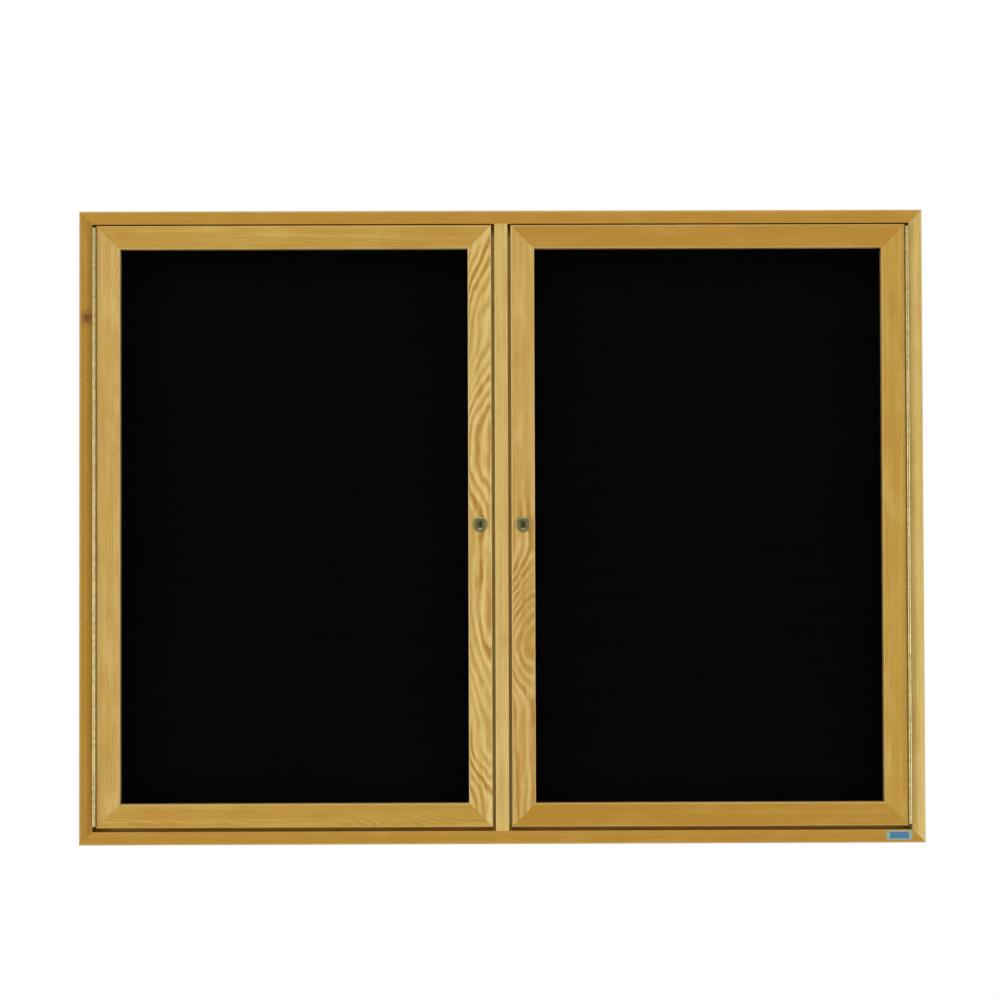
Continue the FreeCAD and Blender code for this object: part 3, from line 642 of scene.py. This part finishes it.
def slot_outline(half_width, half_height):
    """The radius of an upright rectangle by angle."""
    least = 1e-6

    def radius(angle):
        across, up = abs(math.cos(angle)), abs(math.sin(angle))
        return min(half_width / max(across, least), half_height / max(up, least))

    return radius


def cross_outline(reach, arm):
    """The radius of a cross recess by angle: four arms, each of half width arm."""
    level, upright = slot_outline(reach, arm), slot_outline(arm, reach)
    return lambda angle: max(level(angle), upright(angle))


def facing(direction, place):
    """Turns a part drawn along +Z to look along a direction, and puts it in its place."""
    turn = Vector(direction).to_track_quat("Z", "Y").to_matrix().to_4x4()
    return Matrix.Translation(place) @ turn


def turn_part(mesh, profile, where, points=48, **caps):
    """Adds a part from rings, each given as its height and radius, round a matrix's Z axis."""
    loops = [ring(height, radius, points) for height, radius in profile]
    skin(mesh, [[where @ point for point in loop] for loop in loops], **caps)


def place_object(name, data, where=Matrix()):
    """An object in the scene from its data, in the place that a matrix gives."""
    thing = bpy.data.objects.new(name, data)
    thing.matrix_world = where
    bpy.context.scene.collection.objects.link(thing)
    return thing


def mesh_object(name, mesh, *materials):
    """An object in the scene from a finished mesh."""
    data = bpy.data.meshes.new(name)
    mesh.to_mesh(data)
    mesh.free()
    for material in materials:
        data.materials.append(material)
    return place_object(name, data)


def make_piece(name, mesh, material, body, replaced=()):
    """A piece from a finished mesh, riding on a body and standing for CAD nodes."""
    bmesh.ops.remove_doubles(mesh, verts=mesh.verts, dist=MERGE_WITHIN)
    bmesh.ops.recalc_face_normals(mesh, faces=mesh.faces)
    piece = mesh_object(name, mesh, material)
    piece.data.shade_smooth()
    piece.data.set_sharp_from_angle(angle=SMOOTH_BELOW)
    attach(piece, body)
    if replaced:
        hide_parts(*replaced)
    return piece


def make_turned(node, profile, look, seat, material, body):
    """The turned form of a CAD node, from rings round its axis. seat is the Y of height 0."""
    low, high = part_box(node)
    middle = (low + high) / 2
    solid = profile[0] != profile[-1]
    where = facing(look, (middle.x, seat, middle.z))
    mesh = bmesh.new()
    turn_part(mesh, profile, where, cap_first=solid, cap_last=solid)
    make_piece(f"{node}_turned", mesh, material, body, [node])


def dress(nodes, material):
    """Gives CAD pieces their finish."""
    for name in nodes:
        slots = NODES[name].data.materials
        slots.clear()
        slots.append(material)


def drill(piece, places, radius):
    """Cuts round holes through a piece, right along Y."""
    reach = 0.1
    cutters = bmesh.new()
    for x, z in places:
        turn_part(cutters, [(-reach, radius), (reach, radius)], facing(TO_FRONT, (x, 0, z)))
    bmesh.ops.recalc_face_normals(cutters, faces=cutters.faces)
    tool = mesh_object("drill", cutters)
    boolean = piece.modifiers.new("holes", "BOOLEAN")
    boolean.operation = "DIFFERENCE"
    boolean.object = tool
    cut = piece.evaluated_get(bpy.context.evaluated_depsgraph_get())
    piece.data = bpy.data.meshes.new_from_object(cut)
    piece.modifiers.clear()
    bpy.data.objects.remove(tool)


# Panels

def wall_holes():
    """The places of the holes for the wall screws, and their radius, from the record."""
    dims = next(
        mount["dims"] for mount in frame["record"]["mounts"] if mount["kind"] == "bolt_pattern"
    )
    across, up = dims["spacing_x_mm"] / 2000, dims["spacing_y_mm"] / 2000
    return [(x, z) for x in (-across, across) for z in (-up, up)], dims["hole_r_mm"] / 1000


def groove_section(low, high):
    """The outline of the letter panel in (Y, Z): a flat back and a grooved front."""
    pitch, half_width = size("groove_pitch"), size("groove_width") / 2
    depth, lip = size("groove_depth"), size("groove_lip")
    count = int((high.z - low.z) / pitch)
    start = (low.z + high.z - count * pitch) / 2
    wall = [(0, lip), (lip * 0.3, lip * 0.3), (lip, 0), (depth, 0)]
    outline = [(high.y, high.z), (high.y, low.z), (low.y, low.z)]
    for index in range(count):
        middle = start + pitch * (index + 0.5)
        outline += [(low.y + down, middle - half_width - out) for down, out in wall]
        outline += [(low.y + down, middle + half_width + out) for down, out in wall[::-1]]
    return outline + [(low.y, high.z)]


class BOARD_OT_panels(bpy.types.Operator):
    """Makes the grooved letter panel and the hardboard back with its staples"""

    bl_idname = "notice_board.panels"
    bl_label = "Letter panel and back"

    def execute(self, context):
        places, radius = wall_holes()
        low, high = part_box("letter_panel")
        section = groove_section(low, high)
        mesh = bmesh.new()
        skin(mesh, [[Vector((x, y, z)) for y, z in section] for x in (low.x, high.x)])
        panel = make_piece(
            "letter_panel_felt", mesh, felt("black_felt"), "case", ["letter_panel"]
        )
        drill(panel, places, radius)

        low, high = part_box("back_panel")
        staple_room, eased = 0.0003, 0.0004
        back_y = high.y - staple_room
        mesh = bmesh.new()
        skin(mesh, [
            rectangle(low, high, low.y),
            rectangle(low, high, back_y - eased),
            rectangle(low, high, back_y, eased),
        ])
        finish = hardboard("hardboard", back_y)
        back = make_piece("back_hardboard", mesh, finish, "case", ["back_panel"])
        drill(back, places, radius)
        self.drive_staples(high, back_y)
        return {"FINISHED"}

    def drive_staples(self, high, back_y):
        """A row of staples along each edge of the back, all a little askew."""
        spacing, skew = size("staple_spacing"), 0.12
        half_x, half_z = high.x - size("staple_inset"), high.z - size("staple_inset")
        mesh = bmesh.new()
        for level, reach, edge in ((True, half_x, half_z), (False, half_z, half_x)):
            count = round(2 * reach / spacing)
            for index in range(count):
                along = -reach + (index + 0.5) * 2 * reach / count
                for side in (-edge, edge):
                    if level:
                        self.add_staple(mesh, (along, back_y, side), (1, 0, skew))
                    else:
                        self.add_staple(mesh, (side, back_y, along), (skew, 0, 1))
        steel = plated("staple_zinc", "zinc", "grime", 0.3, (800, 800, 800), 0.2)
        make_piece("back_staples", mesh, steel, "case")

    def add_staple(self, mesh, place, direction):
        """The crown and the tops of the legs of one staple, as a bent flat wire."""
        direction = Vector(direction).normalized()
        side = direction.cross(Vector(TO_WALL))
        half_wire, half_crown, corner, leg = 0.0005, 0.005, 0.0008, 0.003
        path = [
            (-half_crown, -leg), (-half_crown, -corner), (-half_crown + corner, 0),
            (half_crown - corner, 0), (half_crown, -corner), (half_crown, -leg),
        ]
        loops = []
        for index, (along, up) in enumerate(path):
            here = Vector(place) + direction * along + Vector((0, up, 0))
            before = Vector(path[max(index - 1, 0)])
            after = Vector(path[min(index + 1, len(path) - 1)])
            run = (after - before).normalized()
            out = direction * -run.y + Vector(TO_WALL) * run.x
            loops.append([
                here + side * a * half_wire + out * b * half_wire * 0.5
                for a, b in ((-1, -1), (1, -1), (1, 1), (-1, 1))
            ])
        skin(mesh, loops)


# Hinges

ROLL_END = math.radians(-308)
ROLL_STEPS = 22


def leaf_mesh(leaf_side, own, axis, low_z, count, leaf_width, barrel_radius):
    """One hinge leaf: a strip whose front edge is rolled round the pin at its own knuckles."""
    pitch, gap = size("knuckle_pitch"), size("knuckle_gap")
    relief = barrel_radius + size("leaf_relief")
    reaches = (barrel_radius - size("leaf_thick"), barrel_radius)
    angles = [ROLL_END * step / ROLL_STEPS for step in range(ROLL_STEPS + 1)]
    flat = [[(reach, leaf_width), (reach, relief)] for reach in reaches]
    rolled = [
        strip + [(reach * math.cos(angle), reach * math.sin(angle)) for angle in angles]
        for strip, reach in zip(flat, reaches)
    ]
    mesh = bmesh.new()

    def patch(corners):
        mesh.faces.new([
            mesh.verts.new((axis.x + leaf_side * x, axis.y + y, z)) for (x, y), z in corners
        ])

    for index in range(count):
        mine = index % 2 == own
        inside, outside = rolled if mine else flat
        slack = gap / 2 if mine else -gap / 2
        low = low_z + index * pitch + slack * (index > 0 or mine)
        high = low_z + (index + 1) * pitch - slack * (index < count - 1 or mine)
        walls = [*zip(inside, inside[1:]), *zip(outside, outside[1:])]
        walls += [(inside[0], outside[0]), (inside[-1], outside[-1])]
        for first, second in walls:
            patch([(first, low), (second, low), (second, high), (first, high)])
        for z, leaf_ends in ((low, index == 0), (high, index == count - 1)):
            for step in range(0 if leaf_ends else 1, len(inside) - 1):
                corners = inside[step], outside[step], outside[step + 1], inside[step + 1]
                patch([(corner, z) for corner in corners])
    return mesh


class BOARD_OT_hinges(bpy.types.Operator):
    """Rolls the knuckles of the continuous hinges and drives their screws"""

    bl_idname = "notice_board.hinges"
    bl_label = "Continuous hinges"

    def execute(self, context):
        brass = plated("hinge_brass", "brass", "tarnish", 0.26, (500, 500, 40))
        for hand, sign in HANDS.items():
            self.roll_leaf(hand, "case", sign, 0, 0.25, brass)
            self.roll_leaf(hand, "door", -sign, 1, 0.75, brass)
            dress([f"{hand}_hinge_pin"], brass)
        return {"FINISHED"}

    def roll_leaf(self, hand, kind, leaf_side, own, first_screw, brass):
        """One leaf with its screws.

        own is 0 where its knuckles are the first, third and so on from below, and 1 where they
        are the others. first_screw is the lowest screw's place as a share of the spacing.
        """
        node = f"{hand}_hinge_{kind}_leaf"
        body = "case" if kind == "case" else f"{hand}_door"
        low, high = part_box(node)
        pin_low, pin_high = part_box(f"{hand}_hinge_pin")
        pin_length = pin_high.z - pin_low.z
        axis = Vector(JOINTS[f"{hand}_door_swing"]["pos_m"])
        barrel_radius = (high.x - low.x) / 2
        leaf_width = high.y - axis.y
        count = round(pin_length / size("knuckle_pitch"))
        mesh = leaf_mesh(leaf_side, own, axis, pin_low.z, count, leaf_width, barrel_radius)
        make_piece(f"{node}_rolled", mesh, brass, body, [node])

        mesh = bmesh.new()
        spacing, twist = size("screw_spacing"), 1.1
        face_x = axis.x + leaf_side * (barrel_radius - size("leaf_thick"))
        y = axis.y + (barrel_radius + leaf_width) / 2
        for index in range(int(pin_length / spacing)):
            z = pin_low.z + spacing * (index + first_screw)
            where = facing((-leaf_side, 0, 0), (face_x, y, z))
            self.add_screw(mesh, where @ Matrix.Rotation(index * twist, 4, "Z"))
        make_piece(f"{node}_screws", mesh, brass, body)

    def add_screw(self, mesh, where):
        """A countersunk head with a low crown and a cross recess."""
        head = size("screw_head")
        rim, shoulder, crown = 0.00012, 0.00022, 0.00028
        reach, arm = head * 0.55, head * 0.13
        profile = [
            (-head * 0.9, head * 0.45), (0, head * 0.97), (rim, head), (shoulder, head * 0.93),
            (crown, head * 0.7), (crown, cross_outline(reach, arm)),
            (-head * 0.35, cross_outline(reach * 0.55, arm * 0.6)),
        ]
        turn_part(mesh, profile, where)


# Locks

# The face ring's profile: shares of its thickness and of its outer radius
FACE_RING = (
    (0, 0.985), (0.12, 1), (0.35, 1), (0.68, 0.965), (0.9, 0.9), (1, 0.82), (1, 0.66),
    (0.93, 0.62), (0.72, 0.6),
)
# The keyhole from its bottom to its mouth: the height, and shares of its width and height
KEYHOLE = ((-0.009, 0.7, 0.9), (-0.0008, 0.8, 0.95), (-0.0003, 1, 1))


class BOARD_OT_locks(bpy.types.Operator):
    """Turns the lock bodies, plugs, nuts and cam screws"""

    bl_idname = "notice_board.locks"
    bl_label = "Cam locks"

    def execute(self, context):
        zinc = plated("zinc_steel", "zinc", "grime", 0.32, (300, 900, 300), 0.25)
        for hand in HANDS:
            low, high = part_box(f"{hand}_lock_body")
            nickel = lock_nickel(f"{hand}_lock_nickel", (low + high) / 2)
            self.turn_body(hand, nickel)
            self.turn_plug(hand, nickel)
            self.turn_nut(hand, zinc)
            self.turn_cam_screw(hand, zinc)
            dress([f"{hand}_lock_cam"], zinc)
        return {"FINISHED"}

    def turn_body(self, hand, nickel):
        """A domed face ring on a threaded barrel."""
        low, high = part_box(f"{hand}_lock_body")
        plug_low, plug_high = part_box(f"{hand}_lock_plug")
        stile_low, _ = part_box(f"{hand}_door_lock_stile")
        face = stile_low.y - low.y
        rim = (high.x - low.x) / 2
        plug_play, cam_play = 0.00006, 0.00005
        bore = (plug_high.x - plug_low.x) / 2 + plug_play
        barrel, pitch = size("thread_radius"), size("thread_pitch")
        depth = high.y - stile_low.y - cam_play
        root = barrel - pitch * 0.45
        plain_neck, undercut, bore_chamfer = 0.001, 0.0006, 0.0003
        profile = [(-depth, bore), (-depth, root)]
        for index in range(int((depth - plain_neck) / pitch)):
            back = -depth + index * pitch
            profile += [
                (back + pitch * 0.1, root), (back + pitch * 0.5, barrel),
                (back + pitch * 0.6, barrel),
            ]
        profile += [(-undercut, root), (0, root)]
        profile += [(face * height, rim * radius) for height, radius in FACE_RING]
        profile += [(face * 0.66, bore + bore_chamfer), (face * 0.62, bore), (-depth, bore)]
        make_turned(
            f"{hand}_lock_body", profile, TO_FRONT, stile_low.y, nickel, f"{hand}_door",
        )

    def turn_plug(self, hand, nickel):
        """The plug: a face with a keyhole in front and a square for the cam behind."""
        low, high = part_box(f"{hand}_lock_plug")
        cam_low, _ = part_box(f"{hand}_lock_cam")
        radius = (high.x - low.x) / 2
        shoulder = low.y - cam_low.y
        tang = polygon(4, size("tang") / 2)
        half_width, half_height = size("keyhole_width") / 2, size("keyhole_height") / 2
        dish, chamfer = 0.0003, 0.0004
        profile = [
            (height, slot_outline(half_width * width_share, half_height * height_share))
            for height, width_share, height_share in KEYHOLE
        ]
        profile += [
            (-dish, radius * 0.78), (0, radius * 0.82), (0, radius * 0.93), (-chamfer, radius),
            (shoulder, radius), (shoulder, tang), (low.y - high.y, tang),
        ]
        make_turned(
            f"{hand}_lock_plug", profile, TO_FRONT, low.y, nickel, f"{hand}_lock"
        )

    def turn_nut(self, hand, zinc):
        """A thin hexagon nut with chamfered corners."""
        low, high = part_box(f"{hand}_lock_nut")
        apothem = (high.x - low.x) / 2
        thick = high.y - low.y
        thread_play = 0.00008
        hole = size("thread_radius") + thread_play
        chamfer = thick * 0.12
        flats = polygon(6, apothem, apothem * 1.1)
        ends = polygon(6, apothem * 0.97, apothem * 1.02)
        profile = [
            (0, hole), (0, ends), (chamfer, flats), (thick - chamfer, flats), (thick, ends),
            (thick, hole + chamfer), (thick - chamfer, hole), (0, hole),
        ]
        make_turned(
            f"{hand}_lock_nut", profile, TO_WALL, low.y, zinc, f"{hand}_door"
        )

    def turn_cam_screw(self, hand, zinc):
        """A hexagon head with a washer face and a cross recess."""
        low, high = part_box(f"{hand}_lock_cam_screw")
        _, cam_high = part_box(f"{hand}_lock_cam")
        apothem = (high.x - low.x) / 2
        rise = high.y - cam_high.y
        flats = polygon(6, apothem * 0.9)
        shank = size("cam_screw")
        profile = [
            (low.y - cam_high.y, shank), (0, shank), (0, apothem), (rise * 0.15, apothem),
            (rise * 0.15, flats), (rise * 0.75, flats),
            (rise, polygon(6, apothem * 0.86, apothem * 0.9)),
            (rise, cross_outline(apothem * 0.6, apothem * 0.13)),
            (rise * 0.3, cross_outline(apothem * 0.35, apothem * 0.1)),
        ]
        make_turned(
            f"{hand}_lock_cam_screw", profile, TO_WALL, cam_high.y, zinc, f"{hand}_lock",
        )


# Wood, panes and the small label

class BOARD_OT_oak(bpy.types.Operator):
    """Gives each oak member the grain of its own board, and the keys plain birch"""

    bl_idname = "notice_board.oak"
    bl_label = "Oak members"

    def execute(self, context):
        seed_step = 3.7
        members = sorted(
            node for node in NODES
            if node.endswith(("_rail", "_side", "_stile", "_bead")) or node == "mullion"
        )
        for number, node in enumerate(members):
            dress([node], oak(node, seed_step * number))
        dress([node for node in NODES if node.endswith("corner_keys")], birch("birch_keys"))
        return {"FINISHED"}


class BOARD_OT_panes(bpy.types.Operator):
    """Gives the two panes their clear finish"""

    bl_idname = "notice_board.panes"
    bl_label = "Panes"

    def execute(self, context):
        dress([f"{hand}_pane" for hand in HANDS], pane("clear_pane"))
        return {"FINISHED"}


class BOARD_OT_brads(bpy.types.Operator):
    """Drives the brads that hold the glazing beads"""

    bl_idname = "notice_board.brads"
    bl_label = "Bead brads"

    def execute(self, context):
        steel = plated("brad_steel", "zinc", "grime", 0.35, (900, 900, 900), 0.4)
        for hand in HANDS:
            low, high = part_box(f"{hand}_pane")
            mesh = bmesh.new()
            for bead in ("top", "bottom", "hinge", "lock"):
                self.drive_row(mesh, f"{hand}_door_{bead}_bead", (low + high) / 2)
            make_piece(f"{hand}_bead_brads", mesh, steel, f"{hand}_door")
        return {"FINISHED"}

    def drive_row(self, mesh, node, pane_middle):
        """Evenly spaced heads along the flat of a bead, which is its side away from the pane."""
        low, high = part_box(node)
        reach = high - low
        along = 0 if reach.x > reach.z else 2
        across = 2 - along
        count = round(reach[along] / size("brad_spacing"))
        head, shank, crown = size("brad_head"), 0.002, 0.00015
        profile = [(-shank, head * 0.6), (0, head), (crown, head * 0.8)]
        outward = (low + high)[across] / 2 - pane_middle[across]
        outer = (high if outward > 0 else low)[across]
        for index in range(count):
            place = Vector((0, high.y, 0))
            place[along] = low[along] + reach[along] * (index + 0.5) / count
            place[across] = outer - math.copysign(size("brad_inset"), outward)
            turn_part(mesh, profile, facing(TO_WALL, place), points=16)


class BOARD_OT_label(bpy.types.Operator):
    """Sticks a small blank label on the bottom rail of the case"""

    bl_idname = "notice_board.label"
    bl_label = "Blank label"

    def execute(self, context):
        low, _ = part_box("case_bottom_rail")
        door_low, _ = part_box("left_door_bottom_rail")
        opening = low.z + size("rail_face")
        crease = opening - size("bevel_width")
        slope = (door_low.y - low.y) / size("bevel_width")
        corner, thick = size("label_corner"), size("label_thick")
        right = size("label_right")
        left = right - size("label_width")
        top = opening - size("label_drop")
        bottom = top - size("label_height")
        levels = [
            (bottom + corner - corner * math.cos(turn), corner - corner * math.sin(turn))
            for turn in (0, 0.4, 0.8, 1.2, math.pi / 2)
        ]
        levels.append((crease, 0))
        levels += [(bottom + top - z, inset) for z, inset in levels[-2::-1]]
        loops = []
        for z, inset in levels:
            rail = low.y + max(z - crease, 0) * slope
            near, far = right - inset, left + inset
            side, face = rail - thick * 0.6, rail - thick
            eased = thick * 0.5
            outline = [
                (far, rail), (far, side), (far + eased, face),
                (near - eased, face), (near, side), (near, rail),
            ]
            loops.append([Vector((x, y, z)) for x, y in outline])
        mesh = bmesh.new()
        skin(mesh, loops)
        sheet = label_sheet("label_sheet", Vector((left, 0, bottom)), Vector((right, 0, top)))
        make_piece("blank_label", mesh, sheet, "case")
        return {"FINISHED"}


# Stage

LAMP_SIZE = 1.8
# Name, place and share of the lamp power of each softbox
LAMPS = (
    ("front_softbox", (0.0, -4.2, 3.4), 1.5),
    ("left_softbox", (-2.9, -2.4, -0.2), 0.75),
    ("right_softbox", (2.9, -2.4, -0.2), 0.6),
    ("rear_softbox", (1.2, 3.2, 1.8), 0.8),
)
SENSOR_WIDTH = 36


class BOARD_OT_stage(bpy.types.Operator):
    """Sets the floor, the lamps, the background and the camera"""

    bl_idname = "notice_board.stage"
    bl_label = "Studio"

    def execute(self, context):
        studio = context.scene.studio
        context.scene.view_settings.view_transform = "Standard"
        self.set_world(context.scene, studio)
        self.lay_floor(studio)
        self.hang_card()
        for name, place, share in LAMPS:
            self.add_lamp(name, Vector(place), studio.lamp_power * share)
        self.add_camera(context.scene, studio)
        return {"FINISHED"}

    def set_world(self, scene, studio):
        """White where it is seen, also in mirrors and through glass, and soft light elsewhere."""
        world = bpy.data.worlds.new("studio")
        world.use_nodes = True
        scene.world = world
        nodes = Nodes(world.node_tree)
        seen = nodes.add("ShaderNodeLightPath", output="Is Camera Ray")
        for kind in ("Is Glossy Ray", "Is Transmission Ray"):
            seen = nodes.math("MAXIMUM", seen, nodes.add("ShaderNodeLightPath", output=kind))
        strength = seen * (1 - studio.ambient) + studio.ambient
        white = nodes.add("ShaderNodeBackground", inputs={0: (1, 1, 1, 1), 1: strength})
        nodes.add("ShaderNodeOutputWorld", inputs={"Surface": white})

    def lay_floor(self, studio):
        """A round pale floor that fades into the white background."""
        radius, middle, rings = 2.6, 0.01, 24
        profile = [(0, radius * (1 - index / rings) + middle) for index in range(rings + 1)]
        where = Matrix.Translation((0, 0, -studio.floor_depth))
        mesh = bmesh.new()
        turn_part(mesh, profile, where, points=96, cap_first=False)
        material, nodes, place = new_material("pale_floor")
        x, y, _ = nodes.axes(place)
        far = (x ** 2 + y ** 2) ** 0.5
        cloud = nodes.noise(place, 3, 3)
        white = nodes.add("ShaderNodeEmission", inputs={"Strength": 1.0})
        surface(nodes, {
            "Base Color": nodes.mix(cloud * 0.25, (0.9, 0.9, 0.9, 1), (0.84, 0.84, 0.83, 1)),
            "Roughness": 0.85,
        }, nodes.ease(far, radius * 0.35, radius * 0.98), white)
        floor = mesh_object("floor", mesh, material)

    def hang_card(self):
        """A dark card behind the camera, which only mirrors see, so that the panes stay clear."""
        half, distance = Vector((1.7, 0, 1.4)), 4.6
        mesh = bmesh.new()
        mesh.faces.new([mesh.verts.new(corner) for corner in rectangle(-half, half, -distance)])
        material, nodes, place = new_material("dark_card")
        weave = nodes.noise(place, 40, 2)
        surface(nodes, {
            "Base Color": nodes.mix(weave, (0.004, 0.004, 0.004, 1), (0.008, 0.008, 0.008, 1)),
            "Roughness": 1.0,
            "Specular IOR Level": 0.0,
        })
        card = mesh_object("dark_card", mesh, material)
        card.visible_camera = False
        card.visible_diffuse = False
        card.visible_shadow = False

    def add_lamp(self, name, place, power):
        """A large square softbox that looks at the board."""
        data = bpy.data.lights.new(name, "AREA")
        data.size = LAMP_SIZE
        data.energy = power
        place_object(name, data, facing(place, place))

    def add_camera(self, scene, studio):
        """The camera of the photograph."""
        data = bpy.data.cameras.new("camera")
        data.sensor_width = SENSOR_WIDTH
        data.lens = studio.focal_length
        place = Matrix.Translation(
            (studio.camera_side, -studio.camera_distance, studio.camera_height)
        )
        pan = Matrix.Rotation(-studio.camera_pan, 4, "Z")
        tilt = Matrix.Rotation(math.radians(90) + studio.camera_tilt, 4, "X")
        roll = Matrix.Rotation(studio.camera_roll, 4, "Z")
        scene.camera = place_object("camera", data, place @ pan @ tilt @ roll)


# Panel, registration and the run

OPERATORS = (
    BOARD_OT_oak, BOARD_OT_panes, BOARD_OT_panels, BOARD_OT_hinges, BOARD_OT_locks,
    BOARD_OT_brads, BOARD_OT_label, BOARD_OT_stage,
)


class BOARD_PT_finishes(bpy.types.Panel):
    """The steps that finish the notice board, in the sidebar of the 3D view"""

    bl_idname = "BOARD_PT_finishes"
    bl_label = "Notice board"
    bl_space_type = "VIEW_3D"
    bl_region_type = "UI"
    bl_category = "Notice board"

    def draw(self, context):
        for operator in OPERATORS:
            self.layout.operator(operator.bl_idname)
        for name, group in GROUPS.items():
            box = self.layout.box()
            for setting in group.__annotations__:
                box.prop(getattr(context.scene, name), setting)


def register():
    for group in (*GROUPS.values(), *OPERATORS, BOARD_PT_finishes):
        bpy.utils.register_class(group)
    for name, group in GROUPS.items():
        setattr(bpy.types.Scene, name, PointerProperty(type=group))


def unregister():
    for name in GROUPS:
        delattr(bpy.types.Scene, name)
    for group in (BOARD_PT_finishes, *OPERATORS, *GROUPS.values()):
        bpy.utils.unregister_class(group)


def main():
    register()
    for operator in OPERATORS:
        step = operator.bl_idname.removeprefix("notice_board.")
        getattr(bpy.ops.notice_board, step)()


if __name__ == "__main__":
    main()
